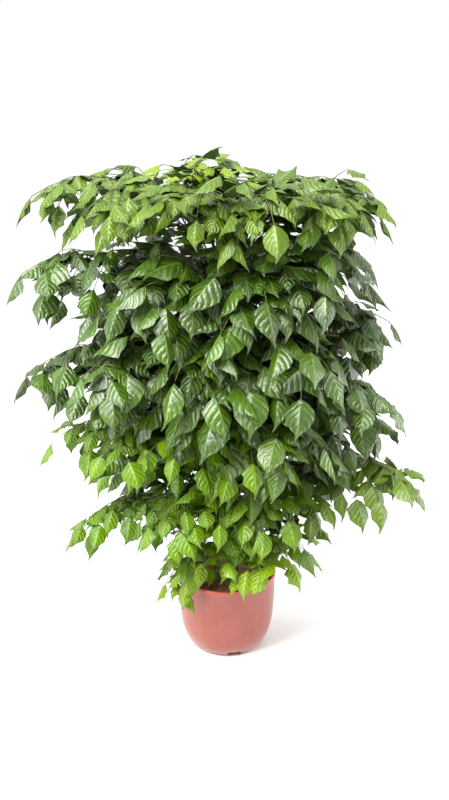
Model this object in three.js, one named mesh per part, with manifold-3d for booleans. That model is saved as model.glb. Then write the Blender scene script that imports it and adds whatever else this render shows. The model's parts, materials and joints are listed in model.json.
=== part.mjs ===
// A china doll plant (Radermachera sinica) growing in a nursery pot.
// Millimetres, +Z up. The pot's axis is Z, its flat base lies on Z = 0, and -Y is the side towards the viewer.
import * as THREE from "three";
import { mergeVertices } from "three/addons/utils/BufferGeometryUtils.js";
import Module from "manifold-3d";

const wasm = await Module();
wasm.setup();

// Pot: a thin moulded wall that rounds in towards the base, a collar at the rim, and drain pockets in the base.
// Its outline runs up the outside as [radius, height].
const POT_HEIGHT = 136;
const POT_OUTLINE = [[56, 0], [64, 6.5], [72.5, 21], [79.5, 46], [83, 84], [83.8, POT_HEIGHT]];
const RIM_RADIUS = 85;
const POT_WALL = 2;
const POT_FLOOR = 2.6;
const COLLAR_HEIGHT = 9;
const COLLAR_STEP = 1.2;
const POT_SIDES = 20;
const POCKETS = 6;
const POCKET_AZIMUTH = 282;
const POCKET_SIZE = { inner: 51, width: 23, height: 7 };
const SLOT_SIZE = { length: 10, width: 13, height: 3 };

// Soil: fills the pot to a little under the rim, and heaps up slightly round the stems.
const SOIL_TOP = 122;
const SOIL_HEAP = 7;
const SOIL_GAP = 0.4;
const SOIL_SIDES = POT_SIDES;
const SOIL_RINGS = [28, 58];
const SOIL_ROUGHNESS = 2.2;

// Stems: slender, tapered, leaning a little outwards from the middle of the pot.
const STEM_FOOT = 66;
const STEM_FOOT_RADIUS = 5.2;
const STEM_TIP_RADIUS = 2.2;
const STEM_SIDES = 6;
const STEM_RINGS = 5;
const STEMS = [
  { name: "stem_1", azimuth: 12, foot: 20, lean: 46, top: 735 },
  { name: "stem_2", azimuth: 84, foot: 22, lean: 40, top: 712 },
  { name: "stem_3", azimuth: 160, foot: 21, lean: 50, top: 742 },
  { name: "stem_4", azimuth: 232, foot: 23, lean: 38, top: 760 },
  { name: "stem_5", azimuth: 300, foot: 22, lean: 44, top: 722 },
];

// Leaves: a stalk bears side branches in pairs. It and each branch end in a spray of three leaflets, a pair and one.
const STALK_GAP = 0.6;
const STALK_WIDTH = [3.2, 1.5];
const STALK_DEPTH = [2.8, 1.2];
const BRANCH_WIDTH = [1.5, 1.2];
const BRANCH_DEPTH = [1.2, 0.9];
const JOIN_LENGTH = 2.6;
const ROOT_LENGTH = 3.2;
const BLADE_DEPTH = 0.8;
const BLADE_WIDEST = 0.4;
const BLADE_HALF_WIDTH = 0.29;
const BLADE_FOLD = 0.1;
const CLEARANCE = 0.8;

// Where the pairs of side branches stand along the stalk, for a leaf with one, two or three pairs.
const BRANCH_PLACES = { 1: [0.5], 2: [0.38, 0.62], 3: [0.32, 0.5, 0.68] };
const BRANCH_SHARE = 0.3;
const BRANCH_LEAST = 1.1;
const BRANCH_SPREAD = 58;
const LEAFLET_PAIR_SETBACK = 0.7;
const BRANCH_DROOP = 24;
const LEAFLET_SPREAD = 62;
const LEAFLET_DROOP = [18, 58];
const LIGHT_TURN = 0.7;

// Ways to bend a side branch clear of what is already there: [lift, turn, stretch], the least change first.
const BENDS = [1, 1.25, 0.8]
  .flatMap((stretch) => [0, 12, -12, 24, -24, 38, -38, 54]
    .flatMap((lift) => [0, 14, -14, 28, -28].map((turn) => [lift, turn, stretch])))
  .sort((one, other) => bendCost(one) - bendCost(other));
// Ways to swing a whole leaf round its stem for the same reason, in degrees.
const SWINGS = [0, 4, -4, 8, -8, 12, -12, 16, -16, 20, -20, 24, -24];

// One row for each leaf: [height on the stem, azimuth, reach of its tip from the pot's axis, height of its tip,
// rise of its arch above the higher end, pairs of side branches, leaflet length, tone].
const LEAVES = {
  top: [
    [730, 246, 84, 812, 34, 1, 36, "mid"],
    [718, 28, 104, 796, 26, 1, 38, "mid"],
    [728, 140, 100, 812, 34, 1, 38, "mid"],
  ],
  crown: [
    [702, 184, 300, 776, 84, 3, 48, "mid"],
    [684, 214, 246, 762, 100, 2, 50, "mid"],
    [700, 246, 200, 762, 90, 2, 52, "mid"],
    [688, 280, 204, 756, 90, 2, 54, "mid"],
    [700, 314, 222, 762, 84, 2, 50, "mid"],
    [690, 348, 238, 742, 96, 2, 50, "mid"],
    [700, 14, 238, 768, 66, 2, 50, "mid"],
    [690, 54, 222, 768, 90, 2, 50, "mid"],
    [688, 98, 210, 762, 90, 2, 50, "mid"],
    [684, 146, 246, 768, 96, 2, 50, "mid"],
  ],
  upper: [
    [575, 188, 318, 662, 94, 3, 56, "dark"],
    [562, 222, 236, 636, 92, 2, 60, "dark"],
    [588, 252, 192, 648, 84, 2, 66, "dark"],
    [578, 286, 196, 650, 84, 2, 68, "dark"],
    [596, 318, 236, 682, 78, 2, 60, "dark"],
    [506, 0, 262, 576, 72, 3, 54, "dark"],
    [586, 22, 250, 664, 82, 2, 58, "dark"],
    [574, 80, 216, 640, 88, 2, 56, "dark"],
    [566, 142, 240, 648, 92, 2, 56, "dark"],
  ],
  middle: [
    [424, 185, 320, 496, 122, 3, 56, "dark"],
    [470, 157, 234, 546, 84, 2, 52, "dark"],
    [460, 212, 254, 522, 92, 2, 60, "dark"],
    [482, 240, 200, 530, 82, 2, 68, "dark"],
    [462, 272, 190, 518, 80, 2, 72, "dark"],
    [480, 306, 214, 540, 86, 2, 70, "dark"],
    [398, 344, 266, 462, 92, 3, 56, "dark"],
    [456, 36, 236, 522, 88, 2, 56, "dark"],
    [462, 84, 218, 520, 88, 2, 56, "dark"],
    [452, 130, 234, 524, 92, 2, 56, "dark"],
  ],
  lower: [
    [314, 188, 286, 386, 106, 2, 50, "bright"],
    [340, 216, 236, 400, 88, 2, 50, "bright"],
    [356, 246, 190, 410, 78, 2, 52, "bright"],
    [350, 278, 182, 404, 78, 2, 54, "bright"],
    [354, 314, 222, 424, 80, 2, 60, "dark"],
    [334, 2, 266, 402, 84, 2, 54, "dark"],
    [344, 56, 224, 402, 84, 2, 52, "dark"],
    [348, 104, 212, 400, 84, 2, 52, "dark"],
    [340, 150, 244, 404, 88, 2, 52, "dark"],
  ],
  low: [
    [206, 192, 254, 234, 124, 2, 48, "bright"],
    [244, 230, 186, 284, 74, 2, 48, "bright"],
    [248, 266, 160, 296, 64, 2, 50, "bright"],
    [246, 298, 176, 298, 68, 2, 50, "bright"],
    [238, 347, 308, 320, 104, 3, 52, "mid"],
    [240, 24, 246, 288, 86, 2, 50, "mid"],
    [238, 84, 200, 284, 80, 2, 50, "mid"],
    [242, 146, 220, 288, 82, 2, 50, "mid"],
  ],
  base: [
    [162, 208, 116, 138, 50, 1, 40, "bright"],
    [176, 250, 118, 206, 40, 1, 42, "bright"],
    [172, 312, 152, 206, 62, 1, 48, "bright"],
    [168, 84, 116, 170, 52, 1, 42, "bright"],
  ],
};

const MATERIALS = {
  pot: new THREE.MeshStandardMaterial({ name: "pot", color: 0xc97a6b, roughness: 0.45, metalness: 0 }),
  soil: new THREE.MeshStandardMaterial({ name: "soil", color: 0x3a251c, roughness: 0.95, metalness: 0 }),
  stem: new THREE.MeshStandardMaterial({ name: "stem", color: 0x75683f, roughness: 0.75, metalness: 0 }),
  dark: new THREE.MeshStandardMaterial({ name: "dark_leaf", color: 0x2f5720, roughness: 0.35, metalness: 0 }),
  mid: new THREE.MeshStandardMaterial({ name: "mid_leaf", color: 0x4d7d2b, roughness: 0.4, metalness: 0 }),
  bright: new THREE.MeshStandardMaterial({ name: "bright_leaf", color: 0x6a9c2a, roughness: 0.4, metalness: 0 }),
};

const UP = new THREE.Vector3(0, 0, 1);
const radians = THREE.MathUtils.degToRad;

function bendCost([lift, turn, stretch]) {
  return Math.hypot(lift, turn) + 80 * Math.abs(stretch - 1);
}

// Unit vector pointing away from the Z axis at an azimuth in degrees.
function outward(azimuth) {
  return new THREE.Vector3(Math.cos(radians(azimuth)), Math.sin(radians(azimuth)), 0);
}

// A stream of numbers from -1 to 1 that a seed fixes.
function seeded(seed) {
  let state = seed >>> 0;
  const next = () => {
    state = (Math.imul(state, 1664525) + 1013904223) >>> 0;
    return state / 2147483648 - 1;
  };
  next();
  next();
  return next;
}

// A vector that turns with a direction as it goes from one unit vector to another by the shortest way.
function carried(vector, from, to) {
  const turn = new THREE.Vector3().crossVectors(from, to);
  const once = new THREE.Vector3().crossVectors(turn, vector);
  const twice = new THREE.Vector3().crossVectors(turn, once);
  return vector.clone().add(once).addScaledVector(twice, 1 / (1 + from.dot(to)));
}

// A curved limb of the plant: a parabola from start to end through the pull of its knee, with its upper side's normal.
class Limb {
  constructor(start, knee, end, normal) {
    this.start = start;
    this.knee = knee;
    this.end = end;
    const first = this.tangent(0);
    this.firstNormal = normal.clone().addScaledVector(first, -normal.dot(first)).normalize();
  }

  // A limb that leaves its start in one direction and reaches its end in another.
  static between(start, leaving, arriving, length, normal) {
    const knee = start.clone().addScaledVector(leaving, length / 2);
    return new Limb(start, knee, knee.clone().addScaledVector(arriving, length / 2), normal);
  }

  point(t) {
    return this.start.clone().multiplyScalar((1 - t) * (1 - t))
      .addScaledVector(this.knee, 2 * t * (1 - t))
      .addScaledVector(this.end, t * t);
  }

  tangent(t) {
    return new THREE.Vector3().subVectors(this.knee, this.start).multiplyScalar(1 - t)
      .addScaledVector(this.end, t).addScaledVector(this.knee, -t).normalize();
  }

  normal(t) {
    return carried(this.firstNormal, this.tangent(0), this.tangent(t));
  }

  // The direction to the right of someone who walks along the limb on its upper side.
  right(t) {
    return new THREE.Vector3().crossVectors(this.tangent(t), this.normal(t));
  }
}

// A thin sheet of triangles that becomes a solid when each of its points gets a depth.
class Sheet {
  constructor() {
    this.points = [];
    this.triangles = [];
  }

  point(position, normal, depth) {
    this.points.push({ position, normal, depth });
    return this.points.length - 1;
  }

  triangle(a, b, c) {
    this.triangles.push([a, b, c]);
  }

  quad(a, b, c, d) {
    this.triangle(a, b, c);
    this.triangle(a, c, d);
  }

  // The closed solid: an upper and a lower face alike, and walls along the open edges. extra makes it thicker.
  geometry(extra = 0) {
    const coordinates = [];
    const upper = [];
    const lower = [];
    const place = (point, offset) =>
      coordinates.push(...point.position.clone().addScaledVector(point.normal, offset).toArray()) / 3 - 1;
    for (const point of this.points) {
      const half = point.depth > 0 ? (point.depth + extra) / 2 : 0;
      upper.push(place(point, half));
      lower.push(half > 0 ? place(point, -half) : upper.at(-1));
    }
    const faces = [];
    const face = (a, b, c) => {
      if (a !== b && b !== c && c !== a) faces.push(a, b, c);
    };
    const edges = new Set(this.triangles.flatMap(([a, b, c]) => [`${a},${b}`, `${b},${c}`, `${c},${a}`]));
    for (const [a, b, c] of this.triangles) {
      face(upper[a], upper[b], upper[c]);
      face(lower[c], lower[b], lower[a]);
    }
    for (const edge of edges) {
      const [a, b] = edge.split(",").map(Number);
      if (edges.has(`${b},${a}`)) continue;
      face(upper[a], lower[a], lower[b]);
      face(upper[a], lower[b], upper[b]);
    }
    const geometry = new THREE.BufferGeometry();
    geometry.setAttribute("position", new THREE.Float32BufferAttribute(coordinates, 3));
    geometry.setIndex(faces);
    return geometry;
  }
}

function solidOf(geometry) {
  const bare = geometry.index ? geometry.toNonIndexed() : geometry.clone();
  bare.deleteAttribute("normal");
  bare.deleteAttribute("uv");
  const merged = mergeVertices(bare, 1e-4);
  const vertProperties = new Float32Array(merged.attributes.position.array);
  const triVerts = new Uint32Array(merged.index.array);
  return new wasm.Manifold(new wasm.Mesh({ numProp: 3, vertProperties, triVerts }));
}

function geometryOf(solid) {
  const mesh = solid.getMesh();
  const geometry = new THREE.BufferGeometry();
  geometry.setAttribute("position", new THREE.BufferAttribute(new Float32Array(mesh.vertProperties), 3));
  geometry.setIndex(new THREE.BufferAttribute(new Uint32Array(mesh.triVerts), 1));
  return geometry;
}

// A box that points outwards at an azimuth, from an inner to an outer radius, and between two heights.
function radialBox(azimuth, inner, outer, width, low, high) {
  const box = new THREE.BoxGeometry(outer - inner, width, high - low);
  box.translate((inner + outer) / 2, 0, (low + high) / 2);
  return solidOf(box.rotateZ(radians(azimuth)));
}

function revolved(profile, sides) {
  const points = profile.map(([radius, height]) => new THREE.Vector2(radius, height));
  return new THREE.LatheGeometry(points, sides).rotateX(Math.PI / 2);
}

// Radius of the pot's outside, below the collar, at a height.
function wallRadius(height) {
  const above = POT_OUTLINE.findIndex(([, top]) => top >= height);
  const [[lowRadius, low], [highRadius, high]] = POT_OUTLINE.slice(above - 1, above + 1);
  return THREE.MathUtils.mapLinear(height, low, high, lowRadius, highRadius);
}

// The pot's outline set in all along by a thickness, from a floor up.
function insideOutline(thickness, floor) {
  const inset = (from, to) => (thickness * Math.hypot(to[0] - from[0], to[1] - from[1])) / (to[1] - from[1]);
  const foot = [wallRadius(floor) - inset(POT_OUTLINE[0], POT_OUTLINE[1]), floor];
  const wall = POT_OUTLINE.slice(1).map(([radius, height], i) => {
    const next = POT_OUTLINE[Math.min(i + 2, POT_OUTLINE.length - 1)];
    return [radius - inset(POT_OUTLINE[i], next), height];
  });
  return [foot, ...wall];
}

function pocketBoxes(grow) {
  const { inner, width, height } = POCKET_SIZE;
  return Array.from({ length: POCKETS }, (_, i) =>
    radialBox(
      POCKET_AZIMUTH + (i * 360) / POCKETS,
      inner - grow, RIM_RADIUS, width + 2 * grow, -POT_FLOOR, height + grow,
    ));
}

function potGeometry() {
  const collarFoot = POT_HEIGHT - COLLAR_HEIGHT;
  const outside = revolved([
    [0, 0], ...POT_OUTLINE.slice(0, -1),
    [wallRadius(collarFoot), collarFoot], [RIM_RADIUS, collarFoot + COLLAR_STEP],
    [RIM_RADIUS, POT_HEIGHT - 1], [RIM_RADIUS - 1, POT_HEIGHT], [0, POT_HEIGHT],
  ], POT_SIDES);
  const inside = revolved([
    [0, POT_FLOOR], ...insideOutline(POT_WALL, POT_FLOOR).slice(0, -1),
    [wallRadius(POT_HEIGHT) - POT_WALL, POT_HEIGHT + 1], [0, POT_HEIGHT + 1],
  ], POT_SIDES);
  const bosses = pocketBoxes(POT_WALL);
  const hollow = bosses.reduce((cavity, boss) => cavity.subtract(boss), solidOf(inside));
  let pot = solidOf(outside).subtract(hollow);
  for (const pocket of pocketBoxes(0)) pot = pot.subtract(pocket);
  for (let i = 0; i < POCKETS; i++) {
    const slotLow = POT_FLOOR + 0.6;
    const slot = radialBox(
      POCKET_AZIMUTH + (i * 360) / POCKETS,
      POCKET_SIZE.inner - SLOT_SIZE.length / 2, POCKET_SIZE.inner + SLOT_SIZE.length / 2,
      SLOT_SIZE.width, slotLow, slotLow + SLOT_SIZE.height,
    );
    pot = pot.subtract(slot);
  }
  return geometryOf(pot);
}

// A tapered round solid along a curve, made by bending a cylinder.
function taperedAlong(curve, footRadius, tipRadius, sides, rings) {
  const cylinder = new THREE.CylinderGeometry(tipRadius, footRadius, 1, sides, rings);
  cylinder.rotateX(Math.PI / 2);
  const position = cylinder.attributes.position;
  for (let i = 0; i < position.count; i++) {
    const centre = curve.getPoint(position.getZ(i) + 0.5);
    position.setXYZ(i, centre.x + position.getX(i), centre.y + position.getY(i), centre.z);
  }
  return cylinder;
}

function stemCurve(stem) {
  const away = outward(stem.azimuth);
  const foot = away.clone().multiplyScalar(stem.foot).setZ(STEM_FOOT);
  const top = away.clone().multiplyScalar(stem.lean).setZ(stem.top);
  const knee = away.clone().multiplyScalar(stem.foot * 0.7).setZ((STEM_FOOT + stem.top) / 2);
  return new THREE.QuadraticBezierCurve3(foot, knee, top);
}

function stemSolid(stem, grow) {
  const radii = [STEM_FOOT_RADIUS + grow, STEM_TIP_RADIUS + grow];
  return taperedAlong(stemCurve(stem), ...radii, STEM_SIDES, STEM_RINGS);
}

function soilGeometry() {
  const bump = seeded(77);
  const top = SOIL_RINGS.map((radius) => [radius, SOIL_TOP + SOIL_HEAP * (1 - (radius / RIM_RADIUS) ** 2)]);
  const edge = wallRadius(SOIL_TOP) - POT_WALL - SOIL_GAP;
  const floor = POT_FLOOR + SOIL_GAP;
  const blank = revolved([
    [0, floor], ...insideOutline(POT_WALL + SOIL_GAP, floor).slice(0, -1),
    [edge, SOIL_TOP - 1], ...top.reverse(), [0, SOIL_TOP + SOIL_HEAP],
  ], SOIL_SIDES);
  const merged = mergeVertices(blank.deleteAttribute("normal").deleteAttribute("uv"), 1e-3);
  const position = merged.attributes.position;
  for (let i = 0; i < position.count; i++) {
    if (position.getZ(i) > SOIL_TOP) position.setZ(i, position.getZ(i) + SOIL_ROUGHNESS * bump());
  }
  let soil = solidOf(merged);
  for (const boss of pocketBoxes(POT_WALL + SOIL_GAP)) soil = soil.subtract(boss);
  for (const stem of STEMS) soil = soil.subtract(solidOf(stemSolid(stem, SOIL_GAP)));
  return geometryOf(soil);
}

// The stem that stands nearest to the side a leaf grows on.
function nearestStem(azimuth) {
  const apart = (stem) => Math.acos(Math.min(1, outward(stem.azimuth).dot(outward(azimuth))));
  return STEMS.reduce((best, stem) => (apart(stem) < apart(best) ? stem : best));
}

// The leaf's stalk, from the surface of its stem to its tip.
function stalkLimb(leaf, swing) {
  const stem = nearestStem(leaf.azimuth);
  const away = outward(leaf.azimuth + swing);
  const along = (leaf.height - STEM_FOOT) / (stem.top - STEM_FOOT);
  const centre = stemCurve(stem).getPoint(along);
  const end = away.clone().multiplyScalar(leaf.reach).setZ(leaf.tip);
  const knee = centre.clone().lerp(end, 0.5).setZ(Math.max(leaf.height, leaf.tip) + leaf.rise);
  const steepness = knee.clone().sub(centre).normalize().z;
  const clearOfStem = STALK_GAP + (STALK_DEPTH[0] / 2) * steepness;
  const radius = THREE.MathUtils.lerp(STEM_FOOT_RADIUS, STEM_TIP_RADIUS, along) + clearOfStem;
  const start = centre.addScaledVector(away, radius);
  const roll = new THREE.Quaternion().setFromAxisAngle(away, radians(leaf.roll));
  return new Limb(start, knee, end, UP.clone().applyQuaternion(roll));
}

// A direction turned in the limb's own plane from straight on (0) to its right-hand side (90), and lifted.
function branching(limb, t, angle, lift) {
  const level = limb.tangent(t).multiplyScalar(Math.cos(radians(angle)))
    .addScaledVector(limb.right(t), Math.sin(radians(angle)));
  return level.multiplyScalar(Math.cos(radians(lift))).addScaledVector(limb.normal(t), Math.sin(radians(lift)));
}

// A direction that droops from another by an angle, but no further below level than a limit.
function drooping(direction, angle, limit) {
  const level = direction.clone().setZ(0).normalize();
  const slope = Math.max(Math.asin(direction.z) - radians(angle), -radians(limit));
  return level.multiplyScalar(Math.cos(slope)).addScaledVector(UP, Math.sin(slope));
}

// The upper side that a member turns to the light, between its parent's upper side and straight up.
function towardsLight(limb, t) {
  return limb.normal(t).lerp(UP, LIGHT_TURN).normalize();
}

// A leaflet: it leaves its branch nearly level and hangs by its own weight towards a long tip.
function leafletOn(limb, t, angle, length, draw) {
  const direction = branching(limb, t, angle + 5 * draw.turn, 0);
  const leaving = drooping(direction, LEAFLET_DROOP[0] + 7 * draw.sag, 44);
  const arriving = drooping(direction, LEAFLET_DROOP[1] + 14 * draw.sag, 80);
  const full = length * (1 + 0.12 * draw.size);
  const blade = Limb.between(limb.point(t), leaving, arriving, full, towardsLight(limb, t));
  return { limb: blade, halfWidth: full * BLADE_HALF_WIDTH };
}

// The three leaflets at the end of a stalk or branch: a pair that stands back from the end, and one at the end.
function withSpray(branch, leaf, draws) {
  const { limb } = branch;
  const at = 1 - (LEAFLET_PAIR_SETBACK * leaf.leaflet) / limb.start.distanceTo(limb.end);
  const right = leafletOn(limb, at, LEAFLET_SPREAD, 0.9 * leaf.leaflet, draws[0]);
  const left = leafletOn(limb, at, -LEAFLET_SPREAD, 0.9 * leaf.leaflet, draws[1]);
  return { ...branch, pairs: [{ at, right, left }], end: leafletOn(limb, 1, 0, 1.08 * leaf.leaflet, draws[2]) };
}

// A side branch, from the stalk to the end of its spray.
function branchOn(limb, t, side, bend, leaf, draw) {
  const [lift, turn, stretch] = bend;
  const reach = stretch * Math.max(BRANCH_SHARE * leaf.span * (1.25 - 0.75 * t), BRANCH_LEAST * leaf.leaflet);
  const direction = branching(limb, t, side * (BRANCH_SPREAD + turn + 6 * draw.turn), lift);
  const leaving = drooping(direction, 0, 34);
  const arriving = drooping(direction, BRANCH_DROOP + 9 * draw.sag, 46);
  const branch = Limb.between(limb.point(t), leaving, arriving, reach, towardsLight(limb, t));
  return withSpray({ limb: branch, width: BRANCH_WIDTH, depth: BRANCH_DEPTH }, leaf, draw.spray);
}

function sprayDraw(next) {
  return [0, 1, 2].map(() => ({ turn: next(), sag: next(), size: next() }));
}

function branchDraw(next) {
  return { turn: next(), sag: next(), spray: sprayDraw(next) };
}

// Adds a leaflet to the sheet, from the two points that it shares with its branch: a blade folded at its midrib.
function addLeaflet(sheet, right, left, { limb, halfWidth }) {
  const normal = limb.normal(BLADE_WIDEST);
  const raised = normal.clone().multiplyScalar(halfWidth * BLADE_FOLD);
  const edge = (side) => sheet.point(
    limb.point(BLADE_WIDEST).addScaledVector(limb.right(BLADE_WIDEST), side * halfWidth).add(raised),
    normal, BLADE_DEPTH,
  );
  const rightEdge = edge(1);
  const leftEdge = edge(-1);
  const tip = sheet.point(limb.end.clone(), limb.normal(1), 0);
  sheet.triangle(right, rightEdge, tip);
  sheet.triangle(right, tip, leftEdge);
  sheet.triangle(right, leftEdge, left);
}

function pairOfPoints(sheet, { limb, width, depth }, t) {
  const half = THREE.MathUtils.lerp(width[0], width[1], t) / 2;
  const thick = THREE.MathUtils.lerp(depth[0], depth[1], t);
  const normal = limb.normal(t);
  return [half, -half].map((offset) =>
    sheet.point(limb.point(t).addScaledVector(limb.right(t), offset), normal, thick));
}

// Adds a stalk or branch to the sheet with all that it bears, from the two points where it leaves its parent.
function addBranch(sheet, right, left, branch) {
  const halfJoin = JOIN_LENGTH / 2 / branch.limb.start.distanceTo(branch.limb.end);
  for (const { at, right: rightMember, left: leftMember } of branch.pairs) {
    const [nearRight, nearLeft] = pairOfPoints(sheet, branch, at - halfJoin);
    const [farRight, farLeft] = pairOfPoints(sheet, branch, at + halfJoin);
    sheet.quad(left, right, nearRight, nearLeft);
    sheet.quad(nearLeft, nearRight, farRight, farLeft);
    if (rightMember) addMember(sheet, nearRight, farRight, rightMember);
    if (leftMember) addMember(sheet, farLeft, nearLeft, leftMember);
    [right, left] = [farRight, farLeft];
  }
  const [endRight, endLeft] = pairOfPoints(sheet, branch, 1);
  sheet.quad(left, right, endRight, endLeft);
  addLeaflet(sheet, endRight, endLeft, branch.end);
}

function addMember(sheet, right, left, member) {
  const add = member.pairs ? addBranch : addLeaflet;
  add(sheet, right, left, member);
}

// The solid of one member by itself, from some way along it, grown all over by a clearance.
function solidAlone(member, root, clearance) {
  const sheet = new Sheet();
  const { limb } = member;
  const base = { limb, width: [JOIN_LENGTH, JOIN_LENGTH], depth: BRANCH_DEPTH };
  const [right, left] = pairOfPoints(sheet, base, root / limb.start.distanceTo(limb.end));
  addMember(sheet, right, left, member);
  return solidOf(sheet.geometry(2 * clearance));
}

// What stands already: each solid with the box round it, so that only near ones are compared.
const standing = [];

function boxOf(solid) {
  const { min, max } = solid.boundingBox();
  return new THREE.Box3(new THREE.Vector3(...min), new THREE.Vector3(...max));
}

function stand(solid) {
  standing.push({ solid, box: boxOf(solid) });
}

function isClear(solid, others) {
  const box = boxOf(solid);
  return others.every((other) => !box.intersectsBox(other.box) || solid.intersect(other.solid).volume() < 1e-6);
}

// The first of several bends that leaves a branch clear of everything, or nothing if none does.
function firstClear(make, ownLeaf) {
  for (const bend of BENDS) {
    const branch = make(bend);
    const grown = solidAlone(branch, ROOT_LENGTH, CLEARANCE);
    if (isClear(grown, standing) && isClear(grown, ownLeaf)) {
      ownLeaf.push({ solid: solidAlone(branch, ROOT_LENGTH, 0), box: boxOf(grown) });
      return branch;
    }
  }
  return undefined;
}

// The whole leaf: its stalk and end spray swing clear of other leaves, then each branch is bent clear in turn.
function leafGeometry(leaf) {
  const next = seeded(leaf.seed);
  leaf.roll = 14 * next();
  const endDraw = sprayDraw(next);
  const places = BRANCH_PLACES[leaf.pairs];
  const bareStalk = (swing) => {
    const stalk = withSpray({ limb: stalkLimb(leaf, swing), width: STALK_WIDTH, depth: STALK_DEPTH }, leaf, endDraw);
    return { ...stalk, pairs: [...places.map((at) => ({ at })), ...stalk.pairs] };
  };
  const stalk = SWINGS.map(bareStalk).find((tried) =>
    isClear(solidAlone(tried, ROOT_LENGTH, CLEARANCE), standing)
    && isClear(solidAlone(tried, 0, STALK_GAP / 2), standing));
  leaf.span = stalk.limb.start.distanceTo(stalk.limb.end);
  const bare = solidAlone(stalk, ROOT_LENGTH, 0);
  const ownLeaf = [{ solid: bare, box: boxOf(bare) }];
  for (const pair of stalk.pairs.slice(0, places.length)) {
    const draws = { right: branchDraw(next), left: branchDraw(next) };
    pair.right = firstClear((bend) => branchOn(stalk.limb, pair.at, 1, bend, leaf, draws.right), ownLeaf);
    pair.left = firstClear((bend) => branchOn(stalk.limb, pair.at, -1, bend, leaf, draws.left), ownLeaf);
  }
  const sheet = new Sheet();
  const [right, left] = pairOfPoints(sheet, stalk, 0);
  addBranch(sheet, right, left, stalk);
  const geometry = sheet.geometry();
  stand(solidOf(geometry));
  return geometry;
}

const plant = new THREE.Group();

function addMesh(name, geometry, material) {
  const mesh = new THREE.Mesh(geometry, material);
  mesh.name = name;
  plant.add(mesh);
}

addMesh("pot", potGeometry(), MATERIALS.pot);
addMesh("soil", soilGeometry(), MATERIALS.soil);
for (const name of ["pot", "soil"]) stand(solidOf(plant.getObjectByName(name).geometry));
for (const stem of STEMS) {
  const geometry = stemSolid(stem, 0);
  addMesh(stem.name, geometry, MATERIALS.stem);
  stand(solidOf(geometry));
}

let seed = 900;
for (const [tier, rows] of Object.entries(LEAVES)) {
  rows.forEach(([height, azimuth, reach, tip, rise, pairs, leaflet, tone], i) => {
    seed += 1;
    const leaf = { height, azimuth, reach, tip, rise, pairs, leaflet, seed };
    addMesh(`${tier}_leaf_${i + 1}`, leafGeometry(leaf), MATERIALS[tone]);
  });
}

export default plant;
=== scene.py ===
# A china doll plant in a nursery pot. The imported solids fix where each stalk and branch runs, and the pieces
# made here give them their finer form: quilted leaflets on thin stalks, bark, soil with bits, a smooth pot.
import json
import math

import bmesh
import bpy
import numpy as np
from mathutils import Euler, Matrix, Vector, noise
from mathutils.kdtree import KDTree


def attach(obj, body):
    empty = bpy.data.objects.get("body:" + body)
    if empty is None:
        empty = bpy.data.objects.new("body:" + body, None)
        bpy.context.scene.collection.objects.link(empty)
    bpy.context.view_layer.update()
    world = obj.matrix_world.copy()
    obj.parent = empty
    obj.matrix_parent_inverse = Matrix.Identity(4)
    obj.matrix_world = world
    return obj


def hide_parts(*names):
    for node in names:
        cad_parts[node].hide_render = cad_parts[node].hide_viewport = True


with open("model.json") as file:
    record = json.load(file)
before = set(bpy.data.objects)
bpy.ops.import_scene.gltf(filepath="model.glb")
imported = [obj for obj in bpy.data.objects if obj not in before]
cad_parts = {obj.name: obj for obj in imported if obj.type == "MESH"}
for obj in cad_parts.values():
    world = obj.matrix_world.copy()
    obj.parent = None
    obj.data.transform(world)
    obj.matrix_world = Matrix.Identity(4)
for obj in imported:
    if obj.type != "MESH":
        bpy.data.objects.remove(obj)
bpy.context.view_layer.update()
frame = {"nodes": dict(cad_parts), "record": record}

MM = 0.001
UP = np.array([0.0, 0.0, 1.0])

# Pot, in millimetres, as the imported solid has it. Its outline runs up the outside as (radius, height).
POT_HEIGHT = 136
POT_OUTLINE = [(56, 0), (64, 6.5), (72.5, 21), (79.5, 46), (83, 84), (83.8, POT_HEIGHT)]
RIM_RADIUS = 85
POT_WALL = 2
POT_FLOOR = 2.6
COLLAR_HEIGHT = 9
COLLAR_STEP = 1.2
POT_SIDES = 96
CURVE_STEPS = 5
POCKETS = 6
POCKET_AZIMUTH = 282
POCKET_INNER = 51
POCKET_WIDTH = 23
POCKET_HEIGHT = 11
SLOT_LENGTH = 10
SLOT_WIDTH = 13
SLOT_HEIGHT = 3

# Soil, heaped a little round the stems.
SOIL_TOP = 122
SOIL_HEAP = 7
SOIL_GAP = 0.4
SOIL_SIDES = 72
SOIL_RINGS = 26
SOIL_SEED = 41
SOIL_BITS = 420
BIT_SIZES = (0.9, 3.1)
SOIL_FIBRES = 150

# Seedlings in the soil, by the places of their feet.
SHOOT_FEET = ((2, -46), (-9, -42), (10, -52))
SHOOT_SEED = 67
SHOOT_LEAFLETS = 7

# Stems: azimuth, distance of the foot and of the top from the pot's axis, height of the top.
STEM_FOOT = 66
STEM_FOOT_RADIUS = 5.2
STEM_TIP_RADIUS = 2.2
STEM_KNOTS = 21
STEMS = {
    "stem_1": (12, 20, 46, 735),
    "stem_2": (84, 22, 40, 712),
    "stem_3": (160, 21, 50, 742),
    "stem_4": (232, 23, 38, 760),
    "stem_5": (300, 22, 44, 722),
}

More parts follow.
